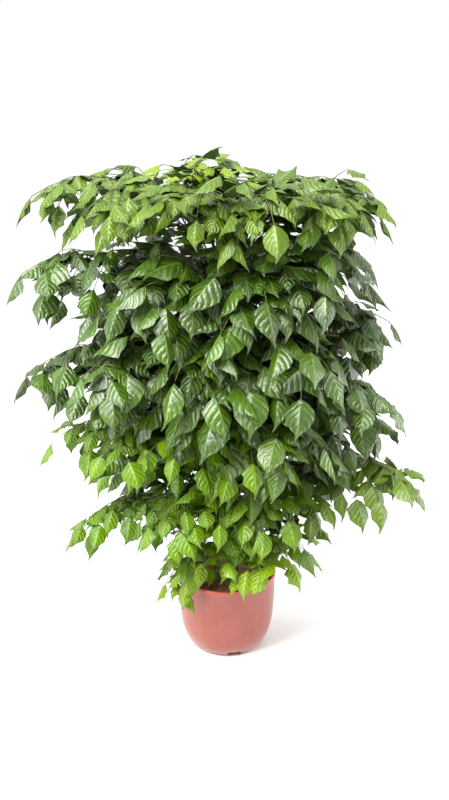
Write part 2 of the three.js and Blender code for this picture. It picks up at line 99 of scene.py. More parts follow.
# How leaves branch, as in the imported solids.
STALK_GAP = 0.6
STALK_DEPTH = 2.8
BLADE_HALF_WIDTH = 0.29
BRANCH_PLACES = {1: [0.5], 2: [0.38, 0.62], 3: [0.32, 0.5, 0.68]}
BRANCH_SHARE = 0.3
BRANCH_LEAST = 1.1
BRANCH_SPREAD = 58
BRANCH_DROOP = 24
LEAFLET_PAIR_SETBACK = 0.7
LEAFLET_SPREAD = 62
LEAFLET_DROOP = (18, 58)
LIGHT_TURN = 0.7
FIRST_SEED = 900
BENDS = [
    (lift, turn, stretch)
    for stretch in (1, 1.25, 0.8)
    for lift in (0, 12, -12, 24, -24, 38, -38, 54)
    for turn in (0, 14, -14, 28, -28)
]
SWINGS = (0, 4, -4, 8, -8, 12, -12, 16, -16, 20, -20, 24, -24)
SAME_PLACE = 0.3

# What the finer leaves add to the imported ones: pairs of side branches as (place, lift, stretch), most of them
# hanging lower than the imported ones. HANGING is the share of it that a tier's leaves take, where not 1.
ADDED_BRANCHES = [
    (0.1, -60, 1.5), (0.15, 34, 1.35), (0.24, 10, 1.3), (0.31, -34, 1.45), (0.5, -36, 1.3), (0.74, -20, 1.2),
]
ADDED_SEED = 5000
ADDED_STEEPEST = (64, 74)
ADDED_SAG = 0.45
HANGING = {"top": 0.3, "crown": 0.25, "low": 0.45, "base": 0.1}

# Short pairs of branches that rise over the stalk, on the leaves of these tiers apart from the flat ones.
RAISED_BRANCHES = [(0.3, 28, 0.5), (0.52, 24, 0.45), (0.74, 20, 0.42)]
RAISED_STEEPEST = (80, 74)
RAISED_HANG = 0.85
RAISED_TIERS = ("crown", "upper", "middle")
FLAT_LEAVES = (
    "crown_leaf_1", "upper_leaf_1", "upper_leaf_2", "middle_leaf_1", "middle_leaf_2", "middle_leaf_3",
    "middle_leaf_7",
)

# Pairs of leaflets further in, as (setback from the tip in leaflets, size, hang), on branches and on the
# stalk, and the share of each that stays bare at its foot.
BRANCH_PAIRS = [(1.35, 0.78, 0.6)]
BRANCH_BARE = 0.12
STALK_PAIRS = [(1.05, 0.85, 0.7), (1.45, 0.8, 0.7), (2.0, 0.75, 0.2), (2.6, 0.7, 0.1), (3.2, 0.7, 0.1)]
STALK_BARE = 0.2

# Stalks and blades. A blade's rows bow towards its tip at the edges, and every other row can be a tooth.
STALK_RADIUS = (1.4, 0.7)
BRANCH_RADIUS = (0.8, 0.5)
MIDRIB_RADIUS = (0.7, 0.2)
MIDRIB_REACH = (0, 0.85)
MIDRIB_SUNK = 0.35
LEAFLET_ROLL = 24
BLADE_START = 0.07
BLADE_COLUMNS = 4
BLADE_ROWS = 9
ROW_PLACES = (0, 0.05, 0.14, 0.27, 0.42, 0.57, 0.7, 0.82, 0.92, 1)
ROW_BOW = 0.55
TEETH = (0.06, -0.07)
EDGE_WAVES = 14
EDGE_SHIFT = 1.9
CURL_START = 0.72
VEIN_PAIRS = 6
BLADE_THICKNESS = 0.02

# How young the leaflets of a tier look, from 0 to 1: near the pot's axis, and what the leaf's tip adds.
YOUTH = {"top": (0.75, 0), "crown": (0, 0.25), "lower": (0, 0.3), "low": (0, 0.3), "base": (0.75, 0)}
GROWN_YOUTH = (0, 0.08)
TONE_SEED = 9000
# Leaflets nearer the pot's axis than this, in millimetres, get painted shade, darker the nearer they are.
LIT_RADIUS = 190

# Single branches that fill a side, as (place, turn, lift, stretch), and the leaves that are fuller on one
# side: the side, how many of these branches it has, and their common lift.
FILLING_BRANCHES = [
    (0.9, 34, 35, 1.0), (0.78, 0, 15, 1.15), (0.62, -34, -5, 1.3), (0.45, 34, -25, 1.45), (0.25, 0, -45, 1.6),
]
FILLING_SEED = 7000
FILLING_HANG = 0.6
FULLER_SIDES = {
    "crown_leaf_1": (-1, 4, -50), "crown_leaf_2": (-1, 4, -25), "crown_leaf_3": (1, 2, 0),
    "crown_leaf_4": (1, 1, -50), "crown_leaf_5": (1, 2, -25), "crown_leaf_6": (-1, 2, -75),
    "crown_leaf_7": (1, 3, -20), "crown_leaf_8": (1, 2, 0), "upper_leaf_1": (-1, 4, -40),
    "upper_leaf_2": (-1, 1, -60), "upper_leaf_4": (-1, 1, -75), "upper_leaf_6": (1, 5, -75),
    "upper_leaf_7": (-1, 1, -40), "middle_leaf_1": (-1, 5, -40), "middle_leaf_3": (-1, 3, -10),
    "middle_leaf_7": (1, 3, -20), "lower_leaf_1": (1, 2, -20), "lower_leaf_2": (-1, 1, -20),
    "lower_leaf_6": (1, 1, -40), "low_leaf_1": (-1, 2, -20), "low_leaf_2": (-1, 2, -35),
    "low_leaf_5": (1, 4, 20), "low_leaf_8": (-1, 1, -25), "base_leaf_1": (-1, 1, -40),
    "base_leaf_3": (1, 1, 0),
}

# One row for each leaf: height on the stem, azimuth, reach, height of the tip, rise of the arch, pairs of
# side branches, leaflet length.
LEAVES = {
    "top": [
        (730, 246, 84, 812, 34, 1, 36),
        (718, 28, 104, 796, 26, 1, 38),
        (728, 140, 100, 812, 34, 1, 38),
    ],
    "crown": [
        (702, 184, 300, 776, 84, 3, 48),
        (684, 214, 246, 762, 100, 2, 50),
        (700, 246, 200, 762, 90, 2, 52),
        (688, 280, 204, 756, 90, 2, 54),
        (700, 314, 222, 762, 84, 2, 50),
        (690, 348, 238, 742, 96, 2, 50),
        (700, 14, 238, 768, 66, 2, 50),
        (690, 54, 222, 768, 90, 2, 50),
        (688, 98, 210, 762, 90, 2, 50),
        (684, 146, 246, 768, 96, 2, 50),
    ],
    "upper": [
        (575, 188, 318, 662, 94, 3, 56),
        (562, 222, 236, 636, 92, 2, 60),
        (588, 252, 192, 648, 84, 2, 66),
        (578, 286, 196, 650, 84, 2, 68),
        (596, 318, 236, 682, 78, 2, 60),
        (506, 0, 262, 576, 72, 3, 54),
        (586, 22, 250, 664, 82, 2, 58),
        (574, 80, 216, 640, 88, 2, 56),
        (566, 142, 240, 648, 92, 2, 56),
    ],
    "middle": [
        (424, 185, 320, 496, 122, 3, 56),
        (470, 157, 234, 546, 84, 2, 52),
        (460, 212, 254, 522, 92, 2, 60),
        (482, 240, 200, 530, 82, 2, 68),
        (462, 272, 190, 518, 80, 2, 72),
        (480, 306, 214, 540, 86, 2, 70),
        (398, 344, 266, 462, 92, 3, 56),
        (456, 36, 236, 522, 88, 2, 56),
        (462, 84, 218, 520, 88, 2, 56),
        (452, 130, 234, 524, 92, 2, 56),
    ],
    "lower": [
        (314, 188, 286, 386, 106, 2, 50),
        (340, 216, 236, 400, 88, 2, 50),
        (356, 246, 190, 410, 78, 2, 52),
        (350, 278, 182, 404, 78, 2, 54),
        (354, 314, 222, 424, 80, 2, 60),
        (334, 2, 266, 402, 84, 2, 54),
        (344, 56, 224, 402, 84, 2, 52),
        (348, 104, 212, 400, 84, 2, 52),
        (340, 150, 244, 404, 88, 2, 52),
    ],
    "low": [
        (206, 192, 254, 234, 124, 2, 48),
        (244, 230, 186, 284, 74, 2, 48),
        (248, 266, 160, 296, 64, 2, 50),
        (246, 298, 176, 298, 68, 2, 50),
        (238, 347, 308, 320, 104, 3, 52),
        (240, 24, 246, 288, 86, 2, 50),
        (238, 84, 200, 284, 80, 2, 50),
        (242, 146, 220, 288, 82, 2, 50),
    ],
    "base": [
        (162, 208, 116, 138, 50, 1, 40),
        (176, 250, 118, 206, 40, 1, 42),
        (172, 312, 152, 206, 62, 1, 48),
        (168, 84, 116, 170, 52, 1, 42),
    ],
}


# Directions and curved limbs, in millimetres.
def unit(vector):
    return vector / np.linalg.norm(vector, axis=-1, keepdims=True)


def outward(azimuth):
    """The direction away from the pot's axis at an azimuth in degrees."""
    angle = math.radians(azimuth)
    return np.array([math.cos(angle), math.sin(angle), 0.0])


def mixed(ends, t):
    return ends[0] * (1 - t) + ends[1] * t


def seeded(seed):
    """A stream of numbers from -1 to 1 that a seed fixes."""
    state = seed

    def draw():
        nonlocal state
        state = (state * 1664525 + 1013904223) % 2**32
        return state / 2**31 - 1

    draw()
    draw()
    return draw


class Limb:
    """A parabola from start to end through the pull of its knee, with its upper side's normal."""

    def __init__(self, start, knee, end, normal):
        self.start = start
        self.knee = knee
        self.end = end
        first = self.tangent(0)
        self.first_normal = unit(normal - normal.dot(first) * first)
        self.span = float(np.linalg.norm(end - start))

    @classmethod
    def between(cls, start, leaving, arriving, length, normal):
        knee = start + leaving * length / 2
        return cls(start, knee, knee + arriving * length / 2, normal)

    def point(self, t):
        t = np.asarray(t)[..., None]
        return (1 - t) ** 2 * self.start + 2 * t * (1 - t) * self.knee + t * t * self.end

    def tangent(self, t):
        t = np.asarray(t)[..., None]
        return unit((1 - t) * (self.knee - self.start) + t * (self.end - self.knee))

    def normal(self, t):
        first = self.tangent(0)
        here = self.tangent(t)
        turn = np.cross(first, here)
        once = np.cross(turn, self.first_normal)
        twice = np.cross(turn, once)
        return self.first_normal + once + twice / (1 + here @ first)[..., None]

    def right(self, t):
        return np.cross(self.tangent(t), self.normal(t))

    def rolled(self, angle):
        """The same limb with its upper side rolled about it by an angle in degrees."""
        roll = math.radians(angle)
        normal = self.first_normal * math.cos(roll) + self.right(0) * math.sin(roll)
        return Limb(self.start, self.knee, self.end, normal)


def stem_limb(name):
    azimuth, foot, lean, top = STEMS[name]
    away = outward(azimuth)
    middle = away * foot * 0.7 + UP * (STEM_FOOT + top) / 2
    return Limb(away * foot + UP * STEM_FOOT, middle, away * lean + UP * top, -away)


def stalk_limb(leaf, swing):
    """The leaf's stalk, from the surface of the stem on its side to its tip."""
    name = max(STEMS, key=lambda stem: outward(STEMS[stem][0]).dot(outward(leaf["azimuth"])))
    away = outward(leaf["azimuth"] + swing)
    along = (leaf["height"] - STEM_FOOT) / (STEMS[name][3] - STEM_FOOT)
    centre = stem_limb(name).point(along)
    end = away * leaf["reach"] + UP * leaf["tip"]
    knee = (centre + end) / 2
    knee[2] = max(leaf["height"], leaf["tip"]) + leaf["rise"]
    steepness = unit(knee - centre)[2]
    clear_of_stem = STALK_GAP + STALK_DEPTH / 2 * steepness
    start = centre + away * (mixed((STEM_FOOT_RADIUS, STEM_TIP_RADIUS), along) + clear_of_stem)
    roll = math.radians(leaf["roll"])
    return Limb(start, knee, end, UP * math.cos(roll) + np.cross(away, UP) * math.sin(roll))


def branching(limb, t, angle, lift):
    turn = math.radians(angle)
    level = limb.tangent(t) * math.cos(turn) + limb.right(t) * math.sin(turn)
    return level * math.cos(math.radians(lift)) + limb.normal(t) * math.sin(math.radians(lift))


def drooping(direction, angle, limit):
    level = unit(direction * (1, 1, 0))
    slope = max(math.asin(direction[2]) - math.radians(angle), -math.radians(limit))
    return level * math.cos(slope) + UP * math.sin(slope)


def towards_light(limb, t):
    return unit(limb.normal(t) * (1 - LIGHT_TURN) + UP * LIGHT_TURN)


def leaflet_on(limb, t, angle, length, draw, weight):
    """A leaflet's midrib and its length: it leaves its branch nearly level and hangs towards its tip."""
    turn, sag, size = draw
    direction = branching(limb, t, angle + 5 * turn, 0)
    leaving = drooping(direction, weight * (LEAFLET_DROOP[0] + 7 * sag), 44)
    arriving = drooping(direction, weight * (LEAFLET_DROOP[1] + 14 * sag), 80)
    full = length * (1 + 0.12 * size)
    return Limb.between(limb.point(t), leaving, arriving, full, towards_light(limb, t)), full


def pair_on(limb, t, length, draws, weight):
    """Two leaflets opposite each other."""
    sides = zip((LEAFLET_SPREAD, -LEAFLET_SPREAD), draws)
    return [leaflet_on(limb, t, angle, length, draw, weight) for angle, draw in sides]


def spray_on(limb, leaflet, draws, weight=1.0):
    """The three leaflets at the end of a stalk or branch."""
    pair = pair_on(limb, 1 - LEAFLET_PAIR_SETBACK * leaflet / limb.span, 0.9 * leaflet, draws, weight)
    return [*pair, leaflet_on(limb, 1, 0, 1.08 * leaflet, draws[2], weight)]


def branch_on(stalk, t, side, bend, leaf, draw, steepest=(34, 46), weight=1.0):
    """A side branch, and the three leaflets at its end."""
    lift, turn, stretch = bend
    own_turn, sag, spray = draw
    share = BRANCH_SHARE * stalk.span * (1.25 - 0.75 * t)
    reach = stretch * max(share, BRANCH_LEAST * leaf["leaflet"])
    direction = branching(stalk, t, side * (BRANCH_SPREAD + turn + 6 * own_turn), lift)
    leaving = drooping(direction, 0, steepest[0])
    arriving = drooping(direction, BRANCH_DROOP + 9 * sag, steepest[1])
    branch = Limb.between(stalk.point(t), leaving, arriving, reach, towards_light(stalk, t))
    return branch, spray_on(branch, leaf["leaflet"], spray, weight)


def spray_draw(draw):
    return [(draw(), draw(), draw()) for _ in range(3)]


def branch_draw(draw):
    return draw(), draw(), spray_draw(draw)


def tips_of(node):
    """A finder for the corners of a packed leaf."""
    corners = frame["nodes"][node].data.vertices
    tree = KDTree(len(corners))
    for corner in corners:
        tree.insert(corner.co / MM, corner.index)
    tree.balance()
    return tree


def first_that_fits(tree, make, choices):
    """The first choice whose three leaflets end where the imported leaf's do, or nothing."""
    for choice in choices:
        limb, spray = make(choice)
        if all(tree.find(leaflet.end)[2] < SAME_PLACE for leaflet, _ in reversed(spray)):
            return limb, spray
    return None


def packed_branches(stalk, leaf, tree, draw):
    """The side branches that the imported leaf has."""
    branches = []
    for place in BRANCH_PLACES[leaf["pairs"]]:
        draws = branch_draw(draw), branch_draw(draw)
        for side, own in zip((1, -1), draws):
            found = first_that_fits(tree, lambda bend: branch_on(stalk, place, side, bend, leaf, own), BENDS)
            if found:
                branches.append(found)
    return branches


def added_branches(stalk, leaf, draw):
    """More side branches, mostly hanging."""
    branches = []
    added = ADDED_BRANCHES if leaf["pairs"] > 1 else ADDED_BRANCHES[2:]
    for place, lift, stretch in added:
        lift = leaf["hanging"] * lift if lift < 0 else lift
        for side in (1, -1):
            bend = lift + 10 * draw(), 12 * draw(), stretch * (1 + 0.15 * draw())
            at = place + 0.03 * draw()
            own = branch_draw(draw)
            sag = ADDED_SAG + 0.4 * draw()
            branches.append(branch_on(stalk, at, side, bend, leaf, own, ADDED_STEEPEST, sag))
    return branches


def raised_branches(stalk, leaf, draw):
    """Short side branches that rise over the stalk."""
    branches = []
    for place, lift, stretch in RAISED_BRANCHES:
        for side in (1, -1):
            bend = lift + 8 * draw(), 14 * draw(), stretch * (1 + 0.2 * draw())
            at = place + 0.05 * draw()
            own = branch_draw(draw)
            branches.append(branch_on(stalk, at, side, bend, leaf, own, RAISED_STEEPEST, RAISED_HANG))
    return branches


def filling_branches(stalk, leaf, fuller_side, draw):
    """Single branches on the side where the leaf is fuller."""
    side, count, common_lift = fuller_side
    branches = []
    for place, turn, lift, stretch in FILLING_BRANCHES[:count]:
        bend = common_lift + lift + 8 * draw(), turn, stretch + 0.1 * draw()
        own = branch_draw(draw)
        branches.append(branch_on(stalk, place, side, bend, leaf, own, ADDED_STEEPEST, FILLING_HANG))
    return branches


def pairs_along(limb, leaflet, pairs, bare, draw):
    """Pairs of leaflets further in on a limb, as far as its bare foot."""
    leaflets = []
    for setback, size, hang in pairs:
        at = 1 - setback * leaflet / limb.span
        if at > bare:
            leaflets += pair_on(limb, at, size * leaflet, spray_draw(draw), hang)
    return leaflets


def plan_leaf(node, leaf):
    """Every limb of a leaf: its stalk, its branches, and its leaflets with their lengths."""
    draw = seeded(leaf["seed"])
    leaf["roll"] = 14 * draw()
    end_draw = spray_draw(draw)
    tree = tips_of(node)

    def end_at(swing):
        stalk = stalk_limb(leaf, swing)
        return stalk, spray_on(stalk, leaf["leaflet"], end_draw)

    stalk, leaflets = first_that_fits(tree, end_at, SWINGS)
    extra = seeded(leaf["seed"] + ADDED_SEED)
    branches = packed_branches(stalk, leaf, tree, draw)
    branches += added_branches(stalk, leaf, extra)
    if leaf["raised"]:
        branches += raised_branches(stalk, leaf, extra)
    if node in FULLER_SIDES:
        branches += filling_branches(stalk, leaf, FULLER_SIDES[node], seeded(leaf["seed"] + FILLING_SEED))
    for branch, spray in branches:
        leaflets += spray + pairs_along(branch, leaf["leaflet"], BRANCH_PAIRS, BRANCH_BARE, extra)
    leaflets += pairs_along(stalk, leaf["leaflet"], STALK_PAIRS, STALK_BARE, extra)
    return stalk, [branch for branch, _ in branches], leaflets


def mesh_of(bm, name):
    mesh = bpy.data.meshes.new(name)
    bm.to_mesh(mesh)
    bm.free()
    return mesh


class Form:
    """A mesh that is laid along limbs: x runs across, y from 0 to 1 along the limb, z to its upper side."""

    def __init__(self, bm, name):
        self.mesh = mesh_of(bm, name)
        self.mesh.attributes.new("leaf_tone", "FLOAT_COLOR", "POINT")
        self.places = np.empty(len(self.mesh.vertices) * 3)
        self.mesh.vertices.foreach_get("co", self.places)
        self.places.shape = (-1, 3)

    def lay(self, bm, limb, across, deep, reach=(0, 1), sunk=0.0, tone=(0, 0)):
        """Adds the form to a mesh, bent along a limb. across and deep are its sizes there at its two ends."""
        x, y, z = self.places.T
        t = mixed(reach, y)
        places = limb.point(t) + limb.right(t) * (x * mixed(across, y))[:, None]
        places += limb.normal(t) * (z * mixed(deep, y) - sunk)[:, None]
        self.mesh.vertices.foreach_set("co", (places * MM).ravel())
        tones = np.tile((*tone, 0, 1), (len(x), 1))
        self.mesh.attributes["leaf_tone"].data.foreach_set("color", tones.ravel())
        bm.from_mesh(self.mesh)


def blade_form(name, outline, fold, wave, teeth, curl, phase):
    """A leaflet's blade: its halves slope down from the midrib, its edge waves, and its tip curls aside."""
    bm = bmesh.new()
    uv = bm.loops.layers.uv.new("veins")
    bmesh.ops.create_grid(bm, x_segments=BLADE_COLUMNS, y_segments=BLADE_ROWS, size=1)
    underside = bmesh.ops.duplicate(bm, geom=bm.faces[:])["geom"]
    underside = {face for face in underside if isinstance(face, bmesh.types.BMFace)}
    for face in bm.faces:
        for loop in face.loops:
            across, along = loop.vert.co.xy / 2 + Vector((0.5, 0.5))
            loop[uv].uv = (across + (face in underside), ROW_PLACES[round(along * BLADE_ROWS)])
    for vertex in {vertex for face in underside for vertex in face.verts}:
        if max(abs(vertex.co.x), abs(vertex.co.y)) < 0.99:
            vertex.co.z = -BLADE_THICKNESS
    bmesh.ops.reverse_faces(bm, faces=list(underside))
    bmesh.ops.remove_doubles(bm, verts=bm.verts, dist=1e-5)
    for edge in bm.edges:
        at_midrib = all(abs(vertex.co.x) < 0.01 for vertex in edge.verts)
        edge.smooth = edge.calc_face_angle(0) < math.radians(100) and not at_midrib
    for face in bm.faces:
        face.smooth = True
    for vertex in bm.verts:
        side = vertex.co.x
        row = ROW_PLACES[round((vertex.co.y / 2 + 0.5) * BLADE_ROWS)]
        out = abs(side)
        along = row + ROW_BOW * out * row * (1 - row)
        width = float(np.interp(along, *zip(*outline)))
        if out > 0.9:
            width *= 1 + teeth * TEETH[ROW_PLACES.index(row) % 2]
        ripple = math.sin(EDGE_WAVES * along + phase + EDGE_SHIFT * (side > 0)) * out * out
        rise = (wave * ripple - fold * out * (0.3 + 0.3 * out)) * width
        aside = curl * max(0.0, along - CURL_START) ** 2
        vertex.co = (side * width + aside, BLADE_START + (1 - BLADE_START) * along, vertex.co.z + rise)
    return Form(bm, name)


def rod_form(name, sides, lengths):
    """A round rod of radius 1 from y = 0 to y = 1."""
    bm = bmesh.new()
    bm.loops.layers.uv.new("veins")
    bmesh.ops.create_cone(bm, cap_ends=True, segments=sides, radius1=1, radius2=1, depth=1)
    long_edges = [edge for edge in bm.edges if abs(edge.verts[0].co.z - edge.verts[1].co.z) > 0.5]
    bmesh.ops.subdivide_edges(bm, edges=long_edges, cuts=lengths - 1)
    bmesh.ops.rotate(bm, verts=bm.verts, matrix=Matrix.Rotation(math.radians(-90), 3, "X"))
    bmesh.ops.translate(bm, verts=bm.verts, vec=(0, 0.5, 0))
    for face in bm.faces:
        face.smooth = True
        face.material_index = 1
    return Form(bm, name)


OVATE = [
    (0, 0.05), (0.04, 0.34), (0.1, 0.66), (0.2, 0.92), (0.3, 1), (0.4, 1), (0.5, 0.95),
    (0.6, 0.82), (0.68, 0.64), (0.75, 0.42), (0.81, 0.22), (0.87, 0.13), (0.93, 0.09), (1, 0.03),
]
NARROW = [
    (0, 0.05), (0.05, 0.26), (0.12, 0.5), (0.22, 0.72), (0.34, 0.8), (0.46, 0.78), (0.57, 0.67),
    (0.66, 0.51), (0.74, 0.32), (0.81, 0.17), (0.88, 0.11), (0.94, 0.08), (1, 0.03),
]
grown = [
    blade_form("grown_blade_1", OVATE, 0.9, 0.12, 0, 3.0, 0.4),
    blade_form("grown_blade_2", OVATE, 0.6, 0.16, 0, -2.5, 2.3),
    blade_form("grown_blade_3", NARROW, 1.1, 0.14, 0, 4.0, 4.1),
    blade_form("grown_blade_4", OVATE, 1.2, 0.18, 0, -3.5, 5.2),
    blade_form("grown_blade_5", OVATE, 0.4, 0.2, 0.2, 1.5, 1.1),
]
young = [
    blade_form("young_blade_1", OVATE, 0.8, 0.18, 1, 2.5, 0.9),
    blade_form("young_blade_2", NARROW, 1.1, 0.2, 1, -3.5, 3.4),
    blade_form("young_blade_3", NARROW, 0.5, 0.24, 0.8, 3.0, 5.0),
]
slender = [
    blade_form("slender_blade_1", NARROW, 1.0, 0.16, 0.4, 4.0, 2.0),
    blade_form("slender_blade_2", NARROW, 0.6, 0.22, 0.7, -3.5, 0.3),
]
FORMS_OF_TIER = {
    "top": young, "crown": [*slender, young[1], grown[2], grown[0]], "middle": grown, "upper": grown,
    "lower": [*young, *slender, grown[0]], "low": [*young, slender[0], grown[0]], "base": young,
}
stalk_rod = rod_form("stalk_rod", 7, 10)
branch_rod = rod_form("branch_rod", 5, 5)
midrib_rod = rod_form("midrib_rod", 4, 3)


# Materials.
def place_node(tree, kind, inputs=(), **settings):
    """A node with its settings, and each input given a value or a link."""
    node = tree.nodes.new(kind)
    for name, value in settings.items():
        setattr(node, name, value)
    for name, value in dict(inputs).items():
        if isinstance(value, bpy.types.NodeSocket):
            tree.links.new(value, node.inputs[name])
        else:
            node.inputs[name].default_value = value
    return node


def math_node(tree, operation, first, second, clamp=False):
    node = place_node(tree, "ShaderNodeMath", {0: first, 1: second}, operation=operation, use_clamp=clamp)
    return node.outputs[0]


def ramp_node(tree, value, low, high, start=0.0, end=1.0):
    """value taken from low..high to start..end, and held at the ends."""
    ends = {"Value": value, "From Min": low, "From Max": high, "To Min": start, "To Max": end}
    return place_node(tree, "ShaderNodeMapRange", ends).outputs["Result"]


def mix_node(tree, factor, first, second):
    node = place_node(tree, "ShaderNodeMix", {0: factor, 6: first, 7: second}, data_type="RGBA")
    return node.outputs[2]


def noise_node(tree, place, scale, detail=3.0, roughness=0.55):
    values = {"Vector": place, "Scale": scale, "Detail": detail, "Roughness": roughness}
    return place_node(tree, "ShaderNodeTexNoise", values).outputs["Fac"]


def colour(red, green, blue):
    """A colour given as it looks on a screen, from 0 to 255, made linear."""
    linear = [((c / 255 + 0.055) / 1.055) ** 2.4 if c > 10 else c / 255 / 12.92 for c in (red, green, blue)]
    return (*linear, 1.0)


def new_group(name, inputs, outputs):
    group = bpy.data.node_groups.new(name, "ShaderNodeTree")
    for direction, sockets in (("INPUT", inputs), ("OUTPUT", outputs)):
        for label, kind in sockets.items():
            group.interface.new_socket(label, in_out=direction, socket_type="NodeSocket" + kind)
    given = group.nodes.new("NodeGroupInput").outputs
    out = group.nodes.new("NodeGroupOutput").inputs
    return group, given, out


def blade_pattern_group():
    """Midrib, side veins and patches of a leaflet, raised between its veins, with painted shade in its sunken
    vein valleys and on leaflets whose tone carries it, and with its paler underside.
    """
    group, given, out = new_group(
        "blade_pattern",
        {"Veins": "Vector", "Place": "Vector", "Tone": "Color", "Deep": "Color", "Fresh": "Color",
         "Young": "Color", "Vein": "Color", "Underside": "Color"},
        {"Color": "Color", "Roughness": "Float", "Height": "Float"},
    )
    axes = place_node(group, "ShaderNodeSeparateXYZ", {"Vector": given["Veins"]}).outputs
    tone = place_node(group, "ShaderNodeSeparateColor", {"Color": given["Tone"]}).outputs
    underside = math_node(group, "GREATER_THAN", axes["X"], 1.0001)
    from_rib = math_node(group, "PINGPONG", math_node(group, "ADD", axes["X"], 0.5), 0.5)
    rising = math_node(group, "MULTIPLY", from_rib, math_node(group, "ADD", 0.12, from_rib))
    along = math_node(group, "SUBTRACT", axes["Y"], math_node(group, "MULTIPLY", rising, 0.6))
    wander = noise_node(group, given["Place"], 80.0)
    along = math_node(group, "ADD", along, math_node(group, "MULTIPLY", wander, 0.09))
    from_vein = math_node(group, "PINGPONG", math_node(group, "MULTIPLY", along, VEIN_PAIRS), 0.5)
    midrib = ramp_node(group, from_rib, 0.012, 0.04, 1.0, 0.0)
    # Painted shade in the sunken vein valleys, where the blade's green is drawn darker.
    vein_valley_shade = ramp_node(group, from_vein, 0.01, 0.1, 1.0, 0.0)
    line = ramp_node(group, from_vein, 0.02, 0.06, 1.0, 0.0)
    patches = noise_node(group, given["Place"], 55.0)
    fine = noise_node(group, given["Place"], 900.0)
    # How far the blade goes from deep to fresh green: random patches, plus the leaflet's tone, which carries
    # painted shade on leaflets near the pot's axis.
    fresh = math_node(group, "ADD", ramp_node(group, patches, 0.3, 0.7, -0.2, 0.3), tone["Red"])
    # Painted shade: the vein valleys are darkened towards the deep green.
    fresh = math_node(group, "SUBTRACT", fresh, math_node(group, "MULTIPLY", vein_valley_shade, 0.3), clamp=True)
    blade = mix_node(group, fresh, given["Deep"], given["Fresh"])
    blade = mix_node(group, tone["Green"], blade, given["Young"])
    line = math_node(group, "MULTIPLY", line, 0.04)
    shown = math_node(group, "MAXIMUM", math_node(group, "MULTIPLY", midrib, 0.5), line)
    blade = mix_node(group, shown, blade, given["Vein"])
    below = mix_node(group, shown, given["Underside"], given["Vein"])
    group.links.new(mix_node(group, underside, blade, below), out["Color"])
    gloss = ramp_node(group, noise_node(group, given["Place"], 140.0), 0.3, 0.7, 0.27, 0.38)
    dull = math_node(group, "MULTIPLY", underside, 0.3)
    group.links.new(math_node(group, "ADD", gloss, dull), out["Roughness"])
    dome = ramp_node(group, from_vein, 0.0, 0.42, 0.0, 1.0)
    dome.node.interpolation_type = "SMOOTHSTEP"
    beside_rib = ramp_node(group, from_rib, 0.0, 0.14)
    dome = math_node(group, "MULTIPLY", dome, math_node(group, "POWER", beside_rib, 0.6))
    puckers = math_node(group, "MULTIPLY", noise_node(group, given["Place"], 190.0), 0.9)
    dome = math_node(group, "ADD", math_node(group, "MULTIPLY", dome, 0.8), puckers)
    dome = math_node(group, "ADD", dome, math_node(group, "MULTIPLY", fine, 0.05))
    turned = math_node(group, "SUBTRACT", 1.0, math_node(group, "MULTIPLY", underside, 2.0))
    group.links.new(math_node(group, "MULTIPLY", dome, turned), out["Height"])
    return group


def new_material(name, base=None, roughness=0.5, **constants):
    material = bpy.data.materials.new(name)
    material.use_nodes = True
    shader = material.node_tree.nodes["Principled BSDF"]
    if base:
        shader.inputs["Base Color"].default_value = base
    shader.inputs["Roughness"].default_value = roughness
    for label, value in constants.items():
        shader.inputs[label.replace("_", " ")].default_value = value
    return material, material.node_tree, shader


def bump(tree, shader, height, distance):
    node = place_node(tree, "ShaderNodeBump", {"Height": height, "Distance": distance, "Strength": 1.0})
    tree.links.new(node.outputs["Normal"], shader.inputs["Normal"])


def object_place(tree):
    return place_node(tree, "ShaderNodeTexCoord").outputs["Object"]


def leaf_finish(name, pattern, shine, deep, fresh, youngest, vein, underside):
    material, tree, shader = new_material(
        name, Coat_Weight=shine / 3, Coat_Roughness=0.22, Specular_IOR_Level=shine,
    )
    values = {
        "Veins": place_node(tree, "ShaderNodeUVMap", uv_map="veins").outputs["UV"],
        "Place": object_place(tree),
        "Tone": place_node(tree, "ShaderNodeAttribute", attribute_name="leaf_tone").outputs["Color"],
        "Deep": deep, "Fresh": fresh, "Young": youngest, "Vein": vein, "Underside": underside,
    }
    look = place_node(tree, "ShaderNodeGroup", values, node_tree=pattern)
    tree.links.new(look.outputs["Color"], shader.inputs["Base Color"])
    tree.links.new(look.outputs["Roughness"], shader.inputs["Roughness"])
    bump(tree, shader, look.outputs["Height"], 0.0012)
    return material


def stalk_finish():
    material, tree, shader = new_material("leaf_stalk")
    streaks = noise_node(tree, object_place(tree), 90.0)
    shade = mix_node(tree, ramp_node(tree, streaks, 0.35, 0.65), colour(46, 64, 20), colour(88, 102, 42))
    tree.links.new(shade, shader.inputs["Base Color"])
    tree.links.new(ramp_node(tree, streaks, 0.3, 0.7, 0.4, 0.55), shader.inputs["Roughness"])
    bump(tree, shader, streaks, 0.0003)
    return material


def bark_finish():
    material, tree, shader = new_material("stem_bark")
    place = object_place(tree)
    stretched = place_node(tree, "ShaderNodeMapping", {"Vector": place, "Scale": (1, 1, 0.22)}).outputs[0]
    grain = noise_node(tree, stretched, 420.0, 6.0)
    patches = noise_node(tree, place, 40.0)
    specks = place_node(tree, "ShaderNodeTexVoronoi", {"Vector": place, "Scale": 260.0}).outputs["Distance"]
    specks = ramp_node(tree, specks, 0.1, 0.25, 1.0, 0.0)
    shade = mix_node(tree, ramp_node(tree, grain, 0.35, 0.65), colour(78, 66, 40), colour(132, 118, 78))
    shade = mix_node(tree, ramp_node(tree, patches, 0.45, 0.65), shade, colour(98, 106, 52))
    shade = mix_node(tree, math_node(tree, "MULTIPLY", specks, 0.6), shade, colour(176, 160, 118))
    tree.links.new(shade, shader.inputs["Base Color"])
    tree.links.new(ramp_node(tree, grain, 0.3, 0.7, 0.65, 0.9), shader.inputs["Roughness"])
    bump(tree, shader, math_node(tree, "ADD", grain, math_node(tree, "MULTIPLY", specks, 0.5)), 0.0008)
    return material


